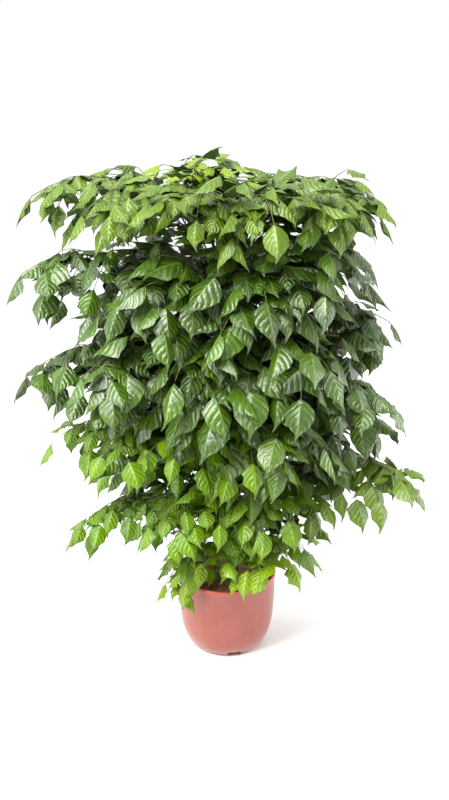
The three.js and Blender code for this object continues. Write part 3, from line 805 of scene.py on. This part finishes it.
def soil_finish(name, dark, light, scale):
    material, tree, shader = new_material(name)
    place = object_place(tree)
    crumbs = noise_node(tree, place, scale, 8.0, 0.7)
    damp = noise_node(tree, place, 60.0)
    shade = mix_node(tree, ramp_node(tree, crumbs, 0.35, 0.7), dark, light)
    shade = mix_node(tree, ramp_node(tree, damp, 0.4, 0.7, 0.0, 0.45), shade, dark)
    tree.links.new(shade, shader.inputs["Base Color"])
    tree.links.new(ramp_node(tree, damp, 0.35, 0.7, 0.95, 0.7), shader.inputs["Roughness"])
    bump(tree, shader, crumbs, 0.0016)
    return material


def pot_finish():
    """Moulded terracotta-coloured plastic: mottled, redder at the rim, with scuffs and dust low down."""
    material, tree, shader = new_material(
        "pot_plastic", Coat_Weight=0.2, Coat_Roughness=0.22, Sheen_Weight=0.3, Sheen_Roughness=0.35,
    )
    place = object_place(tree)
    height = place_node(tree, "ShaderNodeSeparateXYZ", {"Vector": place}).outputs["Z"]
    mottle = noise_node(tree, place, 26.0, 5.0)
    fine = noise_node(tree, place, 900.0, 2.0)
    streaked = place_node(tree, "ShaderNodeMapping", {"Vector": place, "Scale": (1, 1, 0.12)}).outputs[0]
    scuffs = ramp_node(tree, noise_node(tree, streaked, 150.0, 4.0), 0.62, 0.74)
    shade = mix_node(tree, ramp_node(tree, mottle, 0.35, 0.65), colour(134, 58, 44), colour(143, 68, 55))
    rim = ramp_node(tree, height, 0.127, 0.134)
    shade = mix_node(tree, math_node(tree, "MULTIPLY", rim, 0.75), shade, colour(184, 62, 32))
    dust = math_node(tree, "MULTIPLY", ramp_node(tree, height, 0.03, 0.0, 0.0, 1.0), mottle)
    shade = mix_node(tree, math_node(tree, "MULTIPLY", dust, 0.5), shade, colour(190, 140, 122))
    shade = mix_node(tree, math_node(tree, "MULTIPLY", scuffs, 0.06), shade, colour(224, 160, 144))
    tree.links.new(shade, shader.inputs["Base Color"])
    rough = ramp_node(tree, mottle, 0.3, 0.7, 0.34, 0.44)
    rough = math_node(tree, "ADD", rough, math_node(tree, "MULTIPLY", scuffs, 0.15))
    tree.links.new(rough, shader.inputs["Roughness"])
    bump(tree, shader, math_node(tree, "ADD", fine, math_node(tree, "MULTIPLY", mottle, 2.0)), 0.00008)
    return material


blade_pattern = blade_pattern_group()
LEAF_FINISHES = {
    "dark_leaf": leaf_finish(
        "dark_leaf", blade_pattern, 0.64, colour(24, 46, 2), colour(66, 98, 6), colour(104, 138, 12),
        colour(108, 140, 56), colour(94, 98, 62),
    ),
    "mid_leaf": leaf_finish(
        "mid_leaf", blade_pattern, 0.42, colour(32, 58, 2), colour(76, 106, 8), colour(120, 146, 18),
        colour(132, 158, 64), colour(92, 116, 52),
    ),
    "bright_leaf": leaf_finish(
        "bright_leaf", blade_pattern, 0.34, colour(42, 80, 0), colour(78, 115, 2), colour(122, 150, 12),
        colour(144, 178, 60), colour(104, 138, 44),
    ),
}
STALK = stalk_finish()
BARK = bark_finish()
SOIL = soil_finish("potting_soil", colour(92, 52, 42), colour(190, 130, 104), 700.0)
SOIL_CHIP = soil_finish("soil_bits", colour(120, 72, 54), colour(214, 164, 128), 300.0)
POT = pot_finish()


# Pieces.
def new_object(name, data):
    made = bpy.data.objects.new(name, data)
    bpy.context.scene.collection.objects.link(made)
    return made


def add_piece(name, mesh, materials, node, slot):
    for material in materials:
        mesh.materials.append(material)
    piece = new_object(name, mesh)
    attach(piece, "root")
    if node:
        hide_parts(node)


def age_of(tier, leaf, place):
    """How young a leaflet looks, from 0 to 1, by its tier and by how far out it grows."""
    out = min(1.0, float(np.linalg.norm(place[:2])) / leaf["reach"])
    inmost, further_out = YOUTH.get(tier, GROWN_YOUTH)
    return inmost + further_out * out


def tone_with_painted_shade(place, draw):
    """How light a leaflet's green is: painted shade makes it darker the nearer it grows to the pot's axis,
    inside the plant, and it varies a little by chance.
    """
    out = min(1.0, float(np.linalg.norm(place[:2])) / LIT_RADIUS)
    return 0.1 + 0.35 * out + 0.3 * draw()


def make_leaf(tier, node, leaf, slot):
    stalk, branches, leaflets = plan_leaf(node, leaf)
    pick = seeded(leaf["seed"] + TONE_SEED)
    forms = FORMS_OF_TIER[tier] if slot != "dark_leaf" else grown
    bm = bmesh.new()
    stalk_rod.lay(bm, stalk, STALK_RADIUS, STALK_RADIUS)
    for branch in branches:
        branch_rod.lay(bm, branch, BRANCH_RADIUS, BRANCH_RADIUS)
    for midrib, length in leaflets:
        form = forms[int((pick() / 2 + 0.5) * len(forms))]
        half_width = length * BLADE_HALF_WIDTH
        across = half_width * (1.06 + 0.1 * pick())
        # The first number of the tone carries painted shade: leaflets near the pot's axis are drawn darker.
        tone = tone_with_painted_shade(midrib.end, pick), age_of(tier, leaf, midrib.start)
        midrib = midrib.rolled(LEAFLET_ROLL * pick())
        form.lay(bm, midrib, (across, across), (half_width, half_width), tone=tone)
        midrib_rod.lay(bm, midrib, MIDRIB_RADIUS, MIDRIB_RADIUS, MIDRIB_REACH, MIDRIB_SUNK)
    name = node + "_foliage"
    add_piece(name, mesh_of(bm, name), [LEAF_FINISHES[slot], STALK], node, slot)


seed = FIRST_SEED
slots = {part["node"]: part["material_slot"] for part in frame["record"]["subparts"]}
for tier, rows in LEAVES.items():
    for number, (height, azimuth, reach, tip, rise, pairs, leaflet) in enumerate(rows, 1):
        seed += 1
        node = f"{tier}_leaf_{number}"
        leaf = {
            "height": height, "azimuth": azimuth, "reach": reach, "tip": tip, "rise": rise,
            "pairs": pairs, "leaflet": leaflet, "seed": seed, "hanging": HANGING.get(tier, 1),
            "raised": tier in RAISED_TIERS and node not in FLAT_LEAVES,
        }
        make_leaf(tier, node, leaf, slots[node])


def make_stem(node):
    """A woody stem, a little swollen where leaves join it."""
    bm = bmesh.new()
    limb = stem_limb(node)
    rod = rod_form(node + "_rod", 14, 90)
    y = rod.places[:, 1]
    knots = 1 + 0.16 * np.exp(-((np.mod(y * STEM_KNOTS, 1) - 0.5) / 0.12) ** 2) + 0.03 * np.sin(y * 160)
    rod.places[:, [0, 2]] *= knots[:, None]
    radius = (STEM_FOOT_RADIUS * 0.96, STEM_TIP_RADIUS * 0.9)
    rod.lay(bm, limb, radius, radius)
    for face in bm.faces:
        face.material_index = 0
    add_piece(node + "_bark", mesh_of(bm, node + "_bark"), [BARK], node, "stem")


for node in STEMS:
    make_stem(node)


def wall_radius(height):
    """Radius of the pot's outside, below the collar, at a height."""
    radii, heights = zip(*POT_OUTLINE)
    return float(np.interp(height, heights, radii))


def rounded(outline):
    """An outline with a smooth curve through its points."""
    points = np.array([outline[0], *outline, outline[-1]], float)
    curve = []
    for before, start, end, after in zip(points, points[1:], points[2:], points[3:]):
        for t in np.arange(CURVE_STEPS) / CURVE_STEPS:
            straight = start * (1 - t) + end * t
            pull_in = (end - before) / 2 - (end - start)
            pull_out = (end - start) - (after - start) / 2
            curve.append(tuple(straight + t * (1 - t) * ((1 - t) * pull_in + t * pull_out)))
    return [*curve, tuple(points[-1])]


def inside_outline(thickness, floor):
    """The pot's outline set in all along by a thickness, from a floor up."""
    points = [(wall_radius(floor), floor), *POT_OUTLINE[1:]]
    inside = []
    for i, (radius, height) in enumerate(points):
        before = points[max(i - 1, 0)]
        after = points[min(i + 1, len(points) - 1)]
        climb = after[1] - before[1]
        inside.append((radius - thickness * math.hypot(after[0] - before[0], climb) / climb, height))
    return inside


def turned(profile, sides):
    """A profile of (radius, height) in millimetres that starts and ends on the axis, spun round it."""
    bm = bmesh.new()
    corners = [bm.verts.new((radius * MM, 0, height * MM)) for radius, height in profile]
    edges = [bm.edges.new(pair) for pair in zip(corners, corners[1:])]
    bmesh.ops.spin(
        bm, geom=corners + edges, cent=(0, 0, 0), axis=(0, 0, 1), angle=2 * math.pi, steps=sides,
        use_merge=True,
    )
    bmesh.ops.remove_doubles(bm, verts=bm.verts, dist=1e-6)
    bmesh.ops.recalc_face_normals(bm, faces=bm.faces)
    return bm


def radial_boxes(name, inner, outer, width, low, high):
    bm = bmesh.new()
    for i in range(POCKETS):
        box = bmesh.ops.create_cube(bm, size=1)["verts"]
        bmesh.ops.scale(bm, verts=box, vec=Vector((outer - inner, width, high - low)) * MM)
        bmesh.ops.translate(bm, verts=box, vec=Vector(((inner + outer) / 2, 0, (low + high) / 2)) * MM)
        turn = Matrix.Rotation(math.radians(POCKET_AZIMUTH + i * 360 / POCKETS), 3, "Z")
        bmesh.ops.rotate(bm, verts=box, matrix=turn)
    return new_object(name, mesh_of(bm, name))


def carved(body, cutter):
    """An object like a body with a cutter taken out of it. Both helpers go."""
    cut = body.modifiers.new("cut", "BOOLEAN")
    cut.operation = "DIFFERENCE"
    cut.solver = "EXACT"
    cut.object = cutter
    bpy.context.view_layer.update()
    mesh = bpy.data.meshes.new_from_object(body.evaluated_get(bpy.context.evaluated_depsgraph_get()))
    name = body.name
    for helper in (body, cutter):
        bpy.data.objects.remove(helper)
    return new_object(name, mesh)


def make_pot():
    foot = POT_HEIGHT - COLLAR_HEIGHT
    outside = turned([
        (0, 0), (30, 0), (POT_OUTLINE[0][0] - 0.6, 0), *rounded(POT_OUTLINE[:-1]), (wall_radius(foot), foot),
        (RIM_RADIUS - 0.3, foot + COLLAR_STEP - 0.5), (RIM_RADIUS, foot + COLLAR_STEP + 0.2),
        (RIM_RADIUS, POT_HEIGHT - 1), (RIM_RADIUS - 0.3, POT_HEIGHT - 0.3), (RIM_RADIUS - 1, POT_HEIGHT),
        (0, POT_HEIGHT),
    ], POT_SIDES)
    inside = turned([
        (0, POT_FLOOR), (30, POT_FLOOR), *rounded(inside_outline(POT_WALL, POT_FLOOR)[:-1]),
        (wall_radius(POT_HEIGHT) - POT_WALL, POT_HEIGHT - 0.8),
        (wall_radius(POT_HEIGHT) - POT_WALL + 0.6, POT_HEIGHT + 0.01),
        (wall_radius(POT_HEIGHT) - POT_WALL + 0.6, POT_HEIGHT + 1), (0, POT_HEIGHT + 1),
    ], POT_SIDES)
    bosses = radial_boxes(
        "bosses", POCKET_INNER - POT_WALL, RIM_RADIUS, POCKET_WIDTH + 2 * POT_WALL, -POT_FLOOR,
        POCKET_HEIGHT + POT_WALL,
    )
    pockets = radial_boxes("pockets", POCKET_INNER, RIM_RADIUS, POCKET_WIDTH, -POT_FLOOR, POCKET_HEIGHT)
    low = POT_FLOOR + 0.6
    drains = radial_boxes(
        "drains", POCKET_INNER - SLOT_LENGTH / 2, POCKET_INNER + SLOT_LENGTH / 2, SLOT_WIDTH, low,
        low + SLOT_HEIGHT,
    )
    cavity = carved(new_object("cavity", mesh_of(inside, "cavity")), bosses)
    shell = carved(new_object("shell", mesh_of(outside, "shell")), cavity)
    shell = carved(shell, pockets)
    shell = carved(shell, drains)
    mesh = shell.data.copy()
    bpy.data.objects.remove(shell)
    for face in mesh.polygons:
        face.use_smooth = True
    mesh.set_sharp_from_angle(angle=math.radians(32))
    add_piece("pot_shell", mesh, [POT], "pot", "pot")


make_pot()


def soil_height(x, y):
    """Height of the soil at a place, in millimetres."""
    radius = math.hypot(x, y)
    lumps = noise.fractal(Vector((x, y, 3)) * 0.09, 1.0, 2.0, 4) * 2.2
    return SOIL_TOP + SOIL_HEAP * (1 - (radius / RIM_RADIUS) ** 2) + lumps - 2.4 * (radius / RIM_RADIUS) ** 8


def soil_place(reach, draw):
    """A place on the soil as (x, y), within a distance from the pot's axis."""
    angle = math.pi * draw()
    radius = reach * math.sqrt(abs(draw()))
    return radius * math.cos(angle), radius * math.sin(angle)


def soil_chip(bm, draw, radius_range, place):
    """One crumb of bark or peat, a squashed and turned five-sided block."""
    size = mixed(radius_range, draw() / 2 + 0.5)
    corners = bmesh.ops.create_cone(
        bm, cap_ends=True, segments=5, radius1=size * MM, radius2=size * (0.7 + 0.2 * draw()) * MM,
        depth=size * (0.9 + 0.3 * draw()) * MM,
    )["verts"]
    bmesh.ops.scale(bm, verts=corners, vec=(1.5 + 0.6 * draw(), 0.8, 0.6))
    turn = Euler((0.7 * draw(), 0.7 * draw(), math.pi * draw())).to_matrix()
    bmesh.ops.rotate(bm, verts=corners, matrix=turn)
    bmesh.ops.translate(bm, verts=corners, vec=Vector(place) * MM)


def make_soil():
    edge = wall_radius(SOIL_TOP) - POT_WALL - SOIL_GAP
    floor = POT_FLOOR + SOIL_GAP
    rings = [(edge * i / SOIL_RINGS, SOIL_TOP + 1) for i in range(SOIL_RINGS, -1, -1)]
    bm = turned([
        (0, floor), *inside_outline(POT_WALL + SOIL_GAP, floor)[:-1], *rings,
    ], SOIL_SIDES)
    for vertex in bm.verts:
        if vertex.co.z > SOIL_TOP * MM:
            vertex.co.z = soil_height(vertex.co.x / MM, vertex.co.y / MM) * MM
    for face in bm.faces:
        face.smooth = True
    draw = seeded(SOIL_SEED)
    body_faces = len(bm.faces)
    for _ in range(SOIL_BITS):
        x, y = soil_place(edge - 4, draw)
        soil_chip(bm, draw, BIT_SIZES, (x, y, soil_height(x, y) + 0.4))
    bm.faces.ensure_lookup_table()
    for face in bm.faces[body_faces:]:
        face.material_index = 1
    fibre = rod_form("fibre", 4, 3)
    for _ in range(SOIL_FIBRES):
        x, y = soil_place(edge - 9, draw)
        start = np.array([x, y, soil_height(x, y) - 0.3])
        leaving = unit(np.array([draw(), draw(), 0.35 + 0.3 * draw()]))
        arriving = unit(np.array([draw(), draw(), -0.2]))
        limb = Limb.between(start, leaving, arriving, 9 + 5 * draw(), UP)
        fibre.lay(bm, limb, (0.32, 0.32), (0.32, 0.2))
    add_piece("soil_bed", mesh_of(bm, "soil_bed"), [SOIL, SOIL_CHIP], "soil", "soil")


make_soil()


def make_shoots():
    """Seedlings that come up from the soil in front of the stems."""
    bm = bmesh.new()
    draw = seeded(SHOOT_SEED)
    for x, y in SHOOT_FEET:
        start = np.array([x, y, soil_height(x, y) - 2])
        leaning = unit(np.array([0.3 * draw(), -0.35 + 0.2 * draw(), 1.0]))
        shoot = Limb.between(start, leaning, leaning, 32 + 5 * draw(), np.array([0.0, -1.0, 0.0]))
        branch_rod.lay(bm, shoot, (0.8, 0.5), (0.8, 0.5))
        for i in range(SHOOT_LEAFLETS):
            away = outward(137.5 * i + 30 * draw())
            leaving = unit(away + 0.5 * UP)
            bending = unit(away - 0.3 * UP)
            midrib = Limb.between(shoot.point(0.52 + 0.08 * i), leaving, bending, 15 + 3 * draw(), UP)
            young[i % 3].lay(bm, midrib, (5.4, 5.4), (4.2, 4.2), tone=(0.8, 1.0))
            midrib_rod.lay(bm, midrib, (0.4, 0.2), (0.4, 0.2), MIDRIB_REACH, 0.2)
    finishes = [LEAF_FINISHES["bright_leaf"], STALK]
    add_piece("soil_shoots", mesh_of(bm, "soil_shoots"), finishes, None, "bright_leaf")


make_shoots()


# Studio: a pale floor, soft lights from above and both sides, and the camera where the photographer stood.
def make_stage():
    bm = bmesh.new()
    bmesh.ops.create_circle(bm, cap_ends=True, segments=64, radius=30)
    floor = new_object("studio_floor", mesh_of(bm, "studio_floor"))
    material, _, _ = new_material("studio_white", (0.94, 0.94, 0.94, 1), 0.9)
    floor.data.materials.append(material)
    floor.location.z = -0.0005


def soft_light(name, place, aim, width, height, power):
    light = bpy.data.lights.new(name, "AREA")
    light.shape = "RECTANGLE"
    light.size = width
    light.size_y = height
    light.energy = power
    lamp = new_object(name, light)
    lamp.location = place
    lamp.rotation_euler = (Vector(aim) - Vector(place)).to_track_quat("-Z", "Y").to_euler()


def make_air():
    """Light that comes mostly from overhead, as under a wide softbox, and a white background."""
    world = bpy.data.worlds.new("studio_air")
    world.use_nodes = True
    tree = world.node_tree
    background = tree.nodes["Background"]
    direction = place_node(tree, "ShaderNodeTexCoord").outputs["Generated"]
    axes = place_node(tree, "ShaderNodeSeparateXYZ", {"Vector": direction}).outputs
    behind = ramp_node(tree, axes["Y"], -1.0, 1.0, 0.5, 1.5)
    light = math_node(tree, "MULTIPLY", ramp_node(tree, axes["Z"], 0.0, 1.0, 0.15, 1.65), behind)
    seen = place_node(tree, "ShaderNodeLightPath").outputs["Is Camera Ray"]
    strength = place_node(tree, "ShaderNodeMix", {0: seen, 2: light, 3: 1.0}, data_type="FLOAT").outputs[0]
    background.inputs["Color"].default_value = (1, 1, 1, 1)
    tree.links.new(strength, background.inputs["Strength"])
    bpy.context.scene.world = world


make_stage()
soft_light("overhead_softbox", (-0.8, -1.2, 2.5), (0, 0, 0.45), 1.5, 1.5, 125)
soft_light("left_softbox", (-1.6, -1.5, 1.7), (0, 0, 0.45), 0.8, 1.2, 42)
soft_light("left_strip", (-1.5, 0.3, 0.5), (0, 0, 0.4), 0.4, 1.4, 8)
soft_light("right_strip", (1.5, 0.1, 0.5), (0, 0, 0.4), 0.4, 1.4, 20)
make_air()
bpy.context.scene.view_settings.view_transform = "Standard"

camera = new_object("studio_camera", bpy.data.cameras.new("studio_camera"))
camera.location = (-0.004, -1.5, 0.9)
camera.rotation_euler = (math.radians(90 - 16.9), 0, 0)
camera.data.sensor_width = 36
camera.data.lens = 42.7
bpy.context.scene.camera = camera
